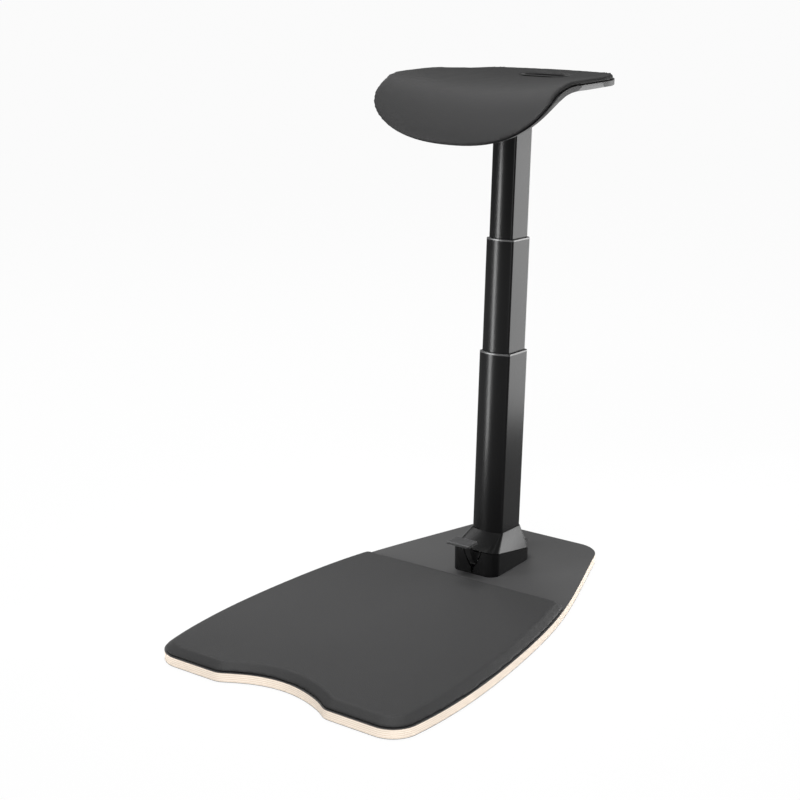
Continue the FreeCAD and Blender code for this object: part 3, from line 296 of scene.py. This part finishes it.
def make_orange_peel():
    """Low waves and fine specks of a sprayed or powder coat, as a height."""
    tree, come, go = new_group(
        "coat_peel",
        [("Point", "NodeSocketVector", None), ("Wave", "NodeSocketFloat", 260.0),
         ("Speck", "NodeSocketFloat", 1800.0), ("Speck share", "NodeSocketFloat", 0.4)],
        [("Height", "NodeSocketFloat")])
    wave = noise(tree, come.outputs["Point"], come.outputs["Wave"], 1.0)
    speck = noise(tree, come.outputs["Point"], come.outputs["Speck"], 1.0)
    height = calculate(tree, "MULTIPLY_ADD", speck.outputs["Fac"], come.outputs["Speck share"],
                       wave.outputs["Fac"])
    tree.links.new(height, go.inputs["Height"])
    return tree


def make_scuffs():
    """Faint hairline rubs in one direction, as a mask."""
    tree, come, go = new_group(
        "hair_scuffs",
        [("Point", "NodeSocketVector", None),
         ("Stretch", "NodeSocketVector", lines_along(X_AXIS, 30.0)),
         ("Amount", "NodeSocketFloat", 0.5)],
        [("Mask", "NodeSocketFloat")])
    point = scaled_point(tree, come.outputs["Point"], come.outputs["Stretch"])
    lines = noise(tree, point, 1.0, 3.0)
    strong = smooth_step(tree, lines.outputs["Fac"], 0.58, 0.78)
    patch = noise(tree, come.outputs["Point"], 18.0, 2.0)
    both = calculate(tree, "MULTIPLY", strong, patch.outputs["Fac"])
    mask = calculate(tree, "MULTIPLY", both, come.outputs["Amount"])
    tree.links.new(mask, go.inputs["Mask"])
    return tree


GROUP_MAKERS = {"mottle": make_mottle, "grain": make_grain, "peel": make_orange_peel,
                "scuffs": make_scuffs}
GROUPS = {}


def place_group(tree, name, point, **values):
    """Uses a shared node group, which is made the first time it is asked for."""
    if name not in GROUPS:
        GROUPS[name] = GROUP_MAKERS[name]()
    node = tree.nodes.new("ShaderNodeGroup")
    node.node_tree = GROUPS[name]
    tree.links.new(point, node.inputs["Point"])
    for key, value in values.items():
        feed(tree, node.inputs[key.replace("_", " ")], value)
    return node


# Materials
def new_material(name):
    material = bpy.data.materials.new(name)
    material.use_nodes = True
    tree = material.node_tree
    tree.nodes.clear()
    out = tree.nodes.new("ShaderNodeOutputMaterial")
    shader = tree.nodes.new("ShaderNodeBsdfPrincipled")
    tree.links.new(shader.outputs[0], out.inputs["Surface"])
    point = tree.nodes.new("ShaderNodeTexCoord").outputs["Object"]
    return material, tree, shader, point


def finish_surface(tree, shader, point, colour, height, *, change, size, rough, rough_change,
                   bump, depth):
    """Joins a mottled colour and a height to a shader."""
    tone = place_group(tree, "mottle", point, Colour=colour, Change=change, Size=size,
                       Roughness=rough, Roughness_change=rough_change)
    tree.links.new(tone.outputs["Colour"], shader.inputs["Base Color"])
    tree.links.new(tone.outputs["Roughness"], shader.inputs["Roughness"])
    relief = add(tree, "ShaderNodeBump", [("Height", height)], Strength=bump, Distance=depth)
    tree.links.new(relief.outputs[0], shader.inputs["Normal"])


def shade_of(colour, factors):
    return [part * factor for part, factor in zip(colour, factors)]


def skin_material(name, colour, cells, rough, bump, specular):
    """Matt pebbled skin over foam, with fine scuffs that catch the light."""
    material, tree, shader, point = new_material(name)
    rub = place_group(tree, "scuffs", point, Stretch=lines_along(X_AXIS, 40.0), Amount=0.5)
    tint = blend_colour(tree, rub.outputs[0], colour, [1.5 * part for part in colour])
    grain = place_group(tree, "grain", point, Cells=cells, Fine=0.3)
    finish_surface(tree, shader, point, tint, grain.outputs[0], change=0.14, size=7.0,
                   rough=rough, rough_change=0.12, bump=bump, depth=SKIN_DEPTH)
    shader.inputs["Specular IOR Level"].default_value = specular
    return material


def coat_material(name, colour, rough, bump, specular=0.5, wave=260.0,
                  scuff=lines_along(Z_AXIS, 30.0)):
    """Sprayed or powder coat over metal or plastic."""
    material, tree, shader, point = new_material(name)
    rub = place_group(tree, "scuffs", point, Stretch=scuff, Amount=0.35)
    tint = blend_colour(tree, rub.outputs[0], colour, [1.6 * part + 0.004 for part in colour])
    peel = place_group(tree, "peel", point, Wave=wave)
    finish_surface(tree, shader, point, tint, peel.outputs[0], change=0.2, size=9.0,
                   rough=rough, rough_change=0.06, bump=bump, depth=COAT_DEPTH)
    shader.inputs["Specular IOR Level"].default_value = specular
    return material


def metal_material(name, colour, rough, stretch):
    """Bare or plated metal with fine machining lines."""
    material, tree, shader, point = new_material(name)
    lines = place_group(tree, "scuffs", point, Stretch=stretch, Amount=1.0)
    tint = blend_colour(tree, lines.outputs[0], colour, [0.72 * part for part in colour])
    finish_surface(tree, shader, point, tint, lines.outputs[0], change=0.12, size=30.0,
                   rough=rough, rough_change=0.12, bump=0.25, depth=METAL_DEPTH)
    shader.inputs["Metallic"].default_value = 1.0
    return material


def rubber_material(name, colour, rough):
    """Moulded rubber or plain plastic with a fine grain."""
    material, tree, shader, point = new_material(name)
    grain = place_group(tree, "grain", point, Cells=1400.0, Fine=0.6)
    finish_surface(tree, shader, point, colour, grain.outputs[0], change=0.25, size=20.0,
                   rough=rough, rough_change=0.1, bump=0.3, depth=RUBBER_DEPTH)
    return material


def ply_material(colour):
    """Plywood edge: veneers in turn long and cross grained, thin glue lines, a sealed surface."""
    material, tree, shader, point = new_material("plywood_edge")
    low, high = (corner[2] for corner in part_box("board_core"))

    # Height above the board's underside, counted in veneers
    parts = add(tree, "ShaderNodeSeparateXYZ", [(0, point)])
    waver = noise(tree, scaled_point(tree, point, (14.0, 14.0, 3.0)), 1.0, 3.0)
    height = calculate(tree, "MULTIPLY_ADD", waver.outputs["Fac"], VENEER_WAVER, parts.outputs[2])
    height = calculate(tree, "SUBTRACT", height, low + VENEER_WAVER / 2)
    layers = calculate(tree, "DIVIDE", height, (high - low) / VENEERS)
    cross = smooth_step(tree, calculate(tree, "PINGPONG", layers, 1.0), 0.42, 0.58)
    glue = smooth_step(tree, calculate(tree, "PINGPONG", layers, 0.5), 0.07, 0.0)

    long_grain = noise(tree, scaled_point(tree, point, (45.0, 45.0, 2600.0)), 1.0, 4.0)
    end_grain = noise(tree, scaled_point(tree, point, (700.0, 700.0, 1500.0)), 1.0, 4.0)
    pale = blend_colour(tree, long_grain.outputs["Fac"], colour, shade_of(colour, PALE_GRAIN))
    dark = blend_colour(tree, end_grain.outputs["Fac"], shade_of(colour, CROSS_GRAIN),
                        shade_of(colour, CROSS_PORES))
    wood = blend_colour(tree, cross, pale, dark)
    edge = blend_colour(tree, spread(tree, glue, 0.0, 0.45), wood, GLUE_LINE)
    pores = calculate(tree, "MULTIPLY", end_grain.outputs["Fac"], cross)
    finish_surface(tree, shader, point, edge, pores, change=0.12, size=16.0,
                   rough=0.55, rough_change=0.15, bump=0.35, depth=WOOD_DEPTH)
    shader.inputs["Specular IOR Level"].default_value = 0.3
    return material


# Meshes
def bare_selection():
    if bpy.context.mode != "OBJECT":
        bpy.ops.object.mode_set(mode="OBJECT")
    bpy.ops.object.select_all(action="DESELECT")


def make_active(piece):
    bare_selection()
    piece.select_set(True)
    bpy.context.view_layer.objects.active = piece


def copy_of_node(node, name):
    """Own mesh with a CAD node's shape, its loose triangles joined."""
    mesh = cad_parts[node].data.copy()
    mesh.name = name
    mesh.materials.clear()
    piece = bpy.data.objects.new(name, mesh)
    bpy.context.scene.collection.objects.link(piece)
    make_active(piece)
    bpy.ops.object.mode_set(mode="EDIT")
    bpy.ops.mesh.select_all(action="SELECT")
    bpy.ops.mesh.remove_doubles(threshold=WELD_DISTANCE)
    bpy.ops.mesh.normals_make_consistent(inside=False)
    bpy.ops.object.mode_set(mode="OBJECT")
    return piece


def apply_modifier(piece, kind, **values):
    make_active(piece)
    modifier = piece.modifiers.new(kind.lower(), kind)
    for key, value in values.items():
        setattr(modifier, key, value)
    bpy.ops.object.modifier_apply(modifier=modifier.name)


def fill_with_foam(piece, most):
    """Short cloth run that swells a closed skin; no point moves further than the limit."""
    scene = bpy.context.scene
    start = [vertex.co.copy() for vertex in piece.data.vertices]
    make_active(piece)
    cloth = piece.modifiers.new("foam", "CLOTH")
    cloth.settings.use_pressure = True
    cloth.settings.uniform_pressure_force = FOAM_PRESSURE
    cloth.settings.effector_weights.gravity = 0.0
    cloth.settings.tension_stiffness = FOAM_STRETCH_STIFFNESS
    cloth.settings.compression_stiffness = FOAM_STRETCH_STIFFNESS
    cloth.settings.shear_stiffness = FOAM_SHEAR_STIFFNESS
    cloth.settings.bending_stiffness = FOAM_BEND_STIFFNESS
    cloth.collision_settings.use_collision = False
    for step in range(1, FOAM_STEPS + 1):
        scene.frame_set(step)
    bpy.ops.object.modifier_apply(modifier=cloth.name)
    scene.frame_set(1)
    for vertex, before in zip(piece.data.vertices, start):
        move = vertex.co - before
        if move.length > most:
            vertex.co = before + move * (most / move.length)


def give(piece, material, body):
    """Finishes a new piece and ties it to its body."""
    piece.data.materials.clear()
    piece.data.materials.append(material)
    for face in piece.data.polygons:
        face.use_smooth = True
    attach(piece, body)


def dress(material, *nodes):
    """Gives CAD nodes their material."""
    for node in nodes:
        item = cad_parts[node]
        item.data.materials.clear()
        item.data.materials.append(material)


class STOOL_OT_stage(bpy.types.Operator):
    """Floor, soft lamps and the camera at the photograph's angle"""
    bl_idname = "stool.stage"
    bl_label = "Studio and camera"

    def execute(self, context):
        self.floor(context)
        self.surroundings(context)
        for row in LAMPS:
            self.lamp(context, *row)
        self.camera(context)
        context.scene.view_settings.view_transform = "Standard"
        return {"FINISHED"}

    def floor(self, context):
        """Floor that takes no tone from the lamps in the camera's eyes, so it melts into white."""
        bare_selection()
        bpy.ops.mesh.primitive_circle_add(vertices=FLOOR_SIDES, radius=FLOOR_RADIUS,
                                          fill_type="NGON", location=(0, 0, 0))
        floor = context.active_object
        floor.name = "floor"
        material, tree, shader, _ = new_material("studio_floor")
        shader.inputs["Base Color"].default_value = FLOOR_GREY
        shader.inputs["Roughness"].default_value = FLOOR_ROUGHNESS
        shader.inputs["Specular IOR Level"].default_value = 0.0
        white = add(tree, "ShaderNodeEmission", Strength=1.0)
        rays = tree.nodes.new("ShaderNodeLightPath").outputs
        seen = calculate(tree, "MAXIMUM", rays["Is Camera Ray"], rays["Is Glossy Ray"])
        seen = calculate(tree, "MAXIMUM", seen, rays["Is Transmission Ray"])
        share = spread(tree, seen, 0.0, FLOOR_WHITE_SHARE)
        mix = add(tree, "ShaderNodeMixShader",
                  [(0, share), (1, shader.outputs[0]), (2, white.outputs[0])])
        out = next(node for node in tree.nodes if node.type == "OUTPUT_MATERIAL")
        tree.links.new(mix.outputs[0], out.inputs["Surface"])
        floor.data.materials.append(material)

    def surroundings(self, context):
        """Even grey light from all round, with plain white behind the stool."""
        world = bpy.data.worlds.new("studio")
        world.use_nodes = True
        context.scene.world = world
        tree = world.node_tree
        tree.nodes.clear()
        rays = tree.nodes.new("ShaderNodeLightPath").outputs
        soft = add(tree, "ShaderNodeBackground", Color=SKY_GREY, Strength=SKY_STRENGTH)
        white = add(tree, "ShaderNodeBackground", Color=WHITE, Strength=1.0)
        mix = add(tree, "ShaderNodeMixShader",
                  [(0, rays["Is Camera Ray"]), (1, soft.outputs[0]), (2, white.outputs[0])])
        out = tree.nodes.new("ShaderNodeOutputWorld")
        tree.links.new(mix.outputs[0], out.inputs["Surface"])

    def lamp(self, context, name, place, target, size, power, spread_angle):
        data = bpy.data.lights.new(name, "AREA")
        data.shape = "RECTANGLE"
        data.size, data.size_y = size
        data.energy = power
        data.spread = math.radians(spread_angle)
        lamp = bpy.data.objects.new(name, data)
        context.scene.collection.objects.link(lamp)
        lamp.visible_camera = False
        lamp.location = place
        lamp.rotation_euler = (Vector(target) - Vector(place)).to_track_quat("-Z", "Y").to_euler()

    def camera(self, context):
        data = bpy.data.cameras.new("photo_view")
        data.lens = context.scene.stool_sizes.lens
        data.sensor_width = SENSOR_WIDTH
        data.sensor_fit = "HORIZONTAL"
        camera = bpy.data.objects.new("photo_view", data)
        context.scene.collection.objects.link(camera)
        camera.location = CAMERA_PLACE
        camera.rotation_euler = (math.pi / 2 - math.radians(CAMERA_DIP), 0.0,
                                 math.radians(CAMERA_TURN))
        context.scene.camera = camera


class STOOL_OT_board(bpy.types.Operator):
    """Plywood board: veneered edge, laminate faces and rubber feet"""
    bl_idname = "stool.board"
    bl_label = "Board"

    def execute(self, context):
        colours = context.scene.stool_colours
        dress(ply_material(colours.ply), "board_core")
        dress(coat_material("laminate_face", colours.laminate, rough=0.50, bump=0.22, specular=0.35,
                            wave=700.0, scuff=lines_along(Y_AXIS, 40.0)),
              "board_top_laminate", "board_bottom_laminate")
        dress(rubber_material("foot_rubber", FOOT_RUBBER, rough=0.75), "rubber_feet")
        return {"FINISHED"}


class STOOL_OT_standing_mat(bpy.types.Operator):
    """Standing mat: firm foam with a soft shoulder round its bevelled edge"""
    bl_idname = "stool.standing_mat"
    bl_label = "Standing mat"

    def execute(self, context):
        sizes = context.scene.stool_sizes
        mat = copy_of_node("comfort_mat", "standing_mat")
        apply_modifier(mat, "REMESH", mode="VOXEL", voxel_size=sizes.mat_voxel, adaptivity=0.0)
        apply_modifier(mat, "SMOOTH", factor=0.5, iterations=MAT_SMOOTHING)
        self.crown(mat, sizes.mat_crown)
        material = skin_material("mat_skin", context.scene.stool_colours.mat, cells=420.0,
                                 rough=0.62, bump=0.30, specular=0.35)
        give(mat, material, "base")
        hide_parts("comfort_mat")
        return {"FINISHED"}

    def crown(self, mat, rise):
        """Raises the middle of the top a little and keeps the underside flat on the board."""
        low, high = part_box("comfort_mat")
        middle = [(low[i] + high[i]) / 2 for i in (0, 1)]
        half = [(high[i] - low[i]) / 2 for i in (0, 1)]
        for vertex in mat.data.vertices:
            across = 1 - ((vertex.co.x - middle[0]) / half[0]) ** 2
            along = 1 - ((vertex.co.y - middle[1]) / half[1]) ** 2
            lift = max(0.0, min(1.0, (vertex.co.z - low[2]) / (high[2] - low[2])))
            vertex.co.z += rise * lift * math.sqrt(max(0.0, across * along))
            vertex.co.z = max(vertex.co.z, low[2])


class STOOL_OT_seat_pad(bpy.types.Operator):
    """Seat pad: soft skin over foam, filled by a short cloth run"""
    bl_idname = "stool.seat_pad"
    bl_label = "Seat pad"

    def execute(self, context):
        sizes = context.scene.stool_sizes
        pad = copy_of_node("seat_pad", "seat_cushion")
        apply_modifier(pad, "REMESH", mode="VOXEL", voxel_size=sizes.pad_voxel, adaptivity=0.0)
        apply_modifier(pad, "SMOOTH", factor=0.5, iterations=PAD_SMOOTHING)
        fill_with_foam(pad, sizes.pad_swell)
        apply_modifier(pad, "SMOOTH", factor=0.5, iterations=PAD_LAST_SMOOTHING)
        apply_modifier(pad, "SUBSURF", levels=1, render_levels=1)
        material = skin_material("pad_skin", context.scene.stool_colours.pad, cells=650.0,
                                 rough=0.60, bump=0.20, specular=0.10)
        give(pad, material, "inner_stage")
        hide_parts("seat_pad")
        return {"FINISHED"}


class STOOL_OT_seat_shell(bpy.types.Operator):
    """Moulded shell, slot rim, bracket and height lever"""
    bl_idname = "stool.seat_shell"
    bl_label = "Seat shell and bracket"

    def execute(self, context):
        colours = context.scene.stool_colours
        dress(coat_material("shell_plastic", colours.shell, rough=0.32, bump=0.08, specular=0.16,
                            wave=180.0), "seat_shell")
        # The slot rim's near-black colour is partly its own black plastic and partly painted shade
        # inside the slot
        dress(coat_material("rim_plastic_and_painted_shade", SLOT_RIM_BLACK_AND_PAINTED_SHADE, rough=0.34, bump=0.12), "slot_bezel")
        dress(coat_material("bracket_coat", colours.coat, rough=0.42, bump=0.35), "seat_bracket")
        dress(coat_material("lever_plastic", LEVER_PLASTIC, rough=0.45, bump=0.3, wave=900.0),
              "height_lever")
        return {"FINISHED"}


class STOOL_OT_mast(bpy.types.Operator):
    """Three coated tubes, their rims and guides, and the gas spring"""
    bl_idname = "stool.mast"
    bl_label = "Mast"

    def execute(self, context):
        colours = context.scene.stool_colours
        dress(coat_material("tube_coat", colours.coat, rough=0.24, bump=0.06, specular=0.075,
                            wave=420.0), "outer_tube", "middle_tube", "inner_tube")
        dress(coat_material("rim_moulding", TUBE_RIM, rough=0.40, bump=0.2),
              "outer_rim", "middle_rim")
        dress(rubber_material("guide_plastic", GUIDE_PLASTIC, rough=0.45),
              "middle_slider", "inner_slider")
        dress(coat_material("cylinder_paint", GAS_SPRING_PAINT, rough=0.35, bump=0.2),
              "gas_cylinder")
        dress(metal_material("polished_rod", POLISHED_STEEL, rough=0.14,
                             stretch=lines_along(Z_AXIS, 20.0)), "gas_rod", "valve_pin")
        return {"FINISHED"}


class STOOL_OT_mast_foot(bpy.types.Operator):
    """Castings at the foot of the mast, the steel parts inside them and all fasteners"""
    bl_idname = "stool.mast_foot"
    bl_label = "Foot castings and hinge"

    def execute(self, context):
        colours = context.scene.stool_colours
        dress(coat_material("casting_coat", colours.casting, rough=0.24, bump=0.10, specular=0.10,
                            wave=300.0), "mast_collar", "base_housing")
        dress(coat_material("plate_oxide", BLACK_OXIDE, rough=0.45, bump=0.4, wave=500.0),
              "base_bracket", "mast_foot", "mast_spigot", "hinge_shaft", "hinge_clip")
        dress(metal_material("zinc_plate", ZINC_PLATE, rough=0.34, stretch=(600.0, 600.0, 600.0)),
              "base_bolts", "housing_screws", "spigot_bolts", "seat_screws", "rod_nut")
        dress(metal_material("ground_steel", GROUND_STEEL, rough=0.25,
                             stretch=lines_along(X_AXIS, 30.0)),
              "pedal_pin", "latch_keeper", "lever_pin")
        dress(metal_material("sintered_bronze", BRONZE, rough=0.42, stretch=(500.0, 500.0, 500.0)),
              "hinge_bushes")
        return {"FINISHED"}


class STOOL_OT_pedal(bpy.types.Operator):
    """Pedal lever, its ribbed tread and the return spring"""
    bl_idname = "stool.pedal"
    bl_label = "Pedal"

    def execute(self, context):
        colours = context.scene.stool_colours
        dress(coat_material("pedal_coat", colours.casting, rough=0.34, bump=0.25, wave=500.0),
              "pedal_lever")
        dress(rubber_material("tread_rubber", TREAD_RUBBER, rough=0.6), "pedal_tread")
        dress(metal_material("spring_wire", SPRING_STEEL, rough=0.3,
                             stretch=(900.0, 900.0, 900.0)), "pedal_spring")
        return {"FINISHED"}


class STOOL_PT_panel(bpy.types.Panel):
    """Lists the stool's sizes, colours and pieces"""
    bl_idname = "STOOL_PT_panel"
    bl_label = "Perch stool"
    bl_space_type = "VIEW_3D"
    bl_region_type = "UI"
    bl_category = "Perch stool"

    def draw(self, context):
        for store in (context.scene.stool_sizes, context.scene.stool_colours):
            for name in store.__annotations__:
                self.layout.prop(store, name)
        for operator in OPERATORS:
            self.layout.operator(operator.bl_idname)


OPERATORS = (STOOL_OT_stage, STOOL_OT_board, STOOL_OT_standing_mat, STOOL_OT_mast_foot, STOOL_OT_pedal,
             STOOL_OT_mast, STOOL_OT_seat_shell, STOOL_OT_seat_pad)
CLASSES = (StoolSizes, StoolColours) + OPERATORS + (STOOL_PT_panel,)


def register():
    for item in CLASSES:
        bpy.utils.register_class(item)
    bpy.types.Scene.stool_sizes = bpy.props.PointerProperty(type=StoolSizes)
    bpy.types.Scene.stool_colours = bpy.props.PointerProperty(type=StoolColours)


def unregister():
    del bpy.types.Scene.stool_colours
    del bpy.types.Scene.stool_sizes
    for item in reversed(CLASSES):
        bpy.utils.unregister_class(item)


def main():
    register()
    bpy.ops.stool.stage()
    bpy.ops.stool.board()
    bpy.ops.stool.standing_mat()
    bpy.ops.stool.mast_foot()
    bpy.ops.stool.pedal()
    bpy.ops.stool.mast()
    bpy.ops.stool.seat_shell()
    bpy.ops.stool.seat_pad()
    bpy.context.view_layer.update()


if __name__ == "__main__":
    main()
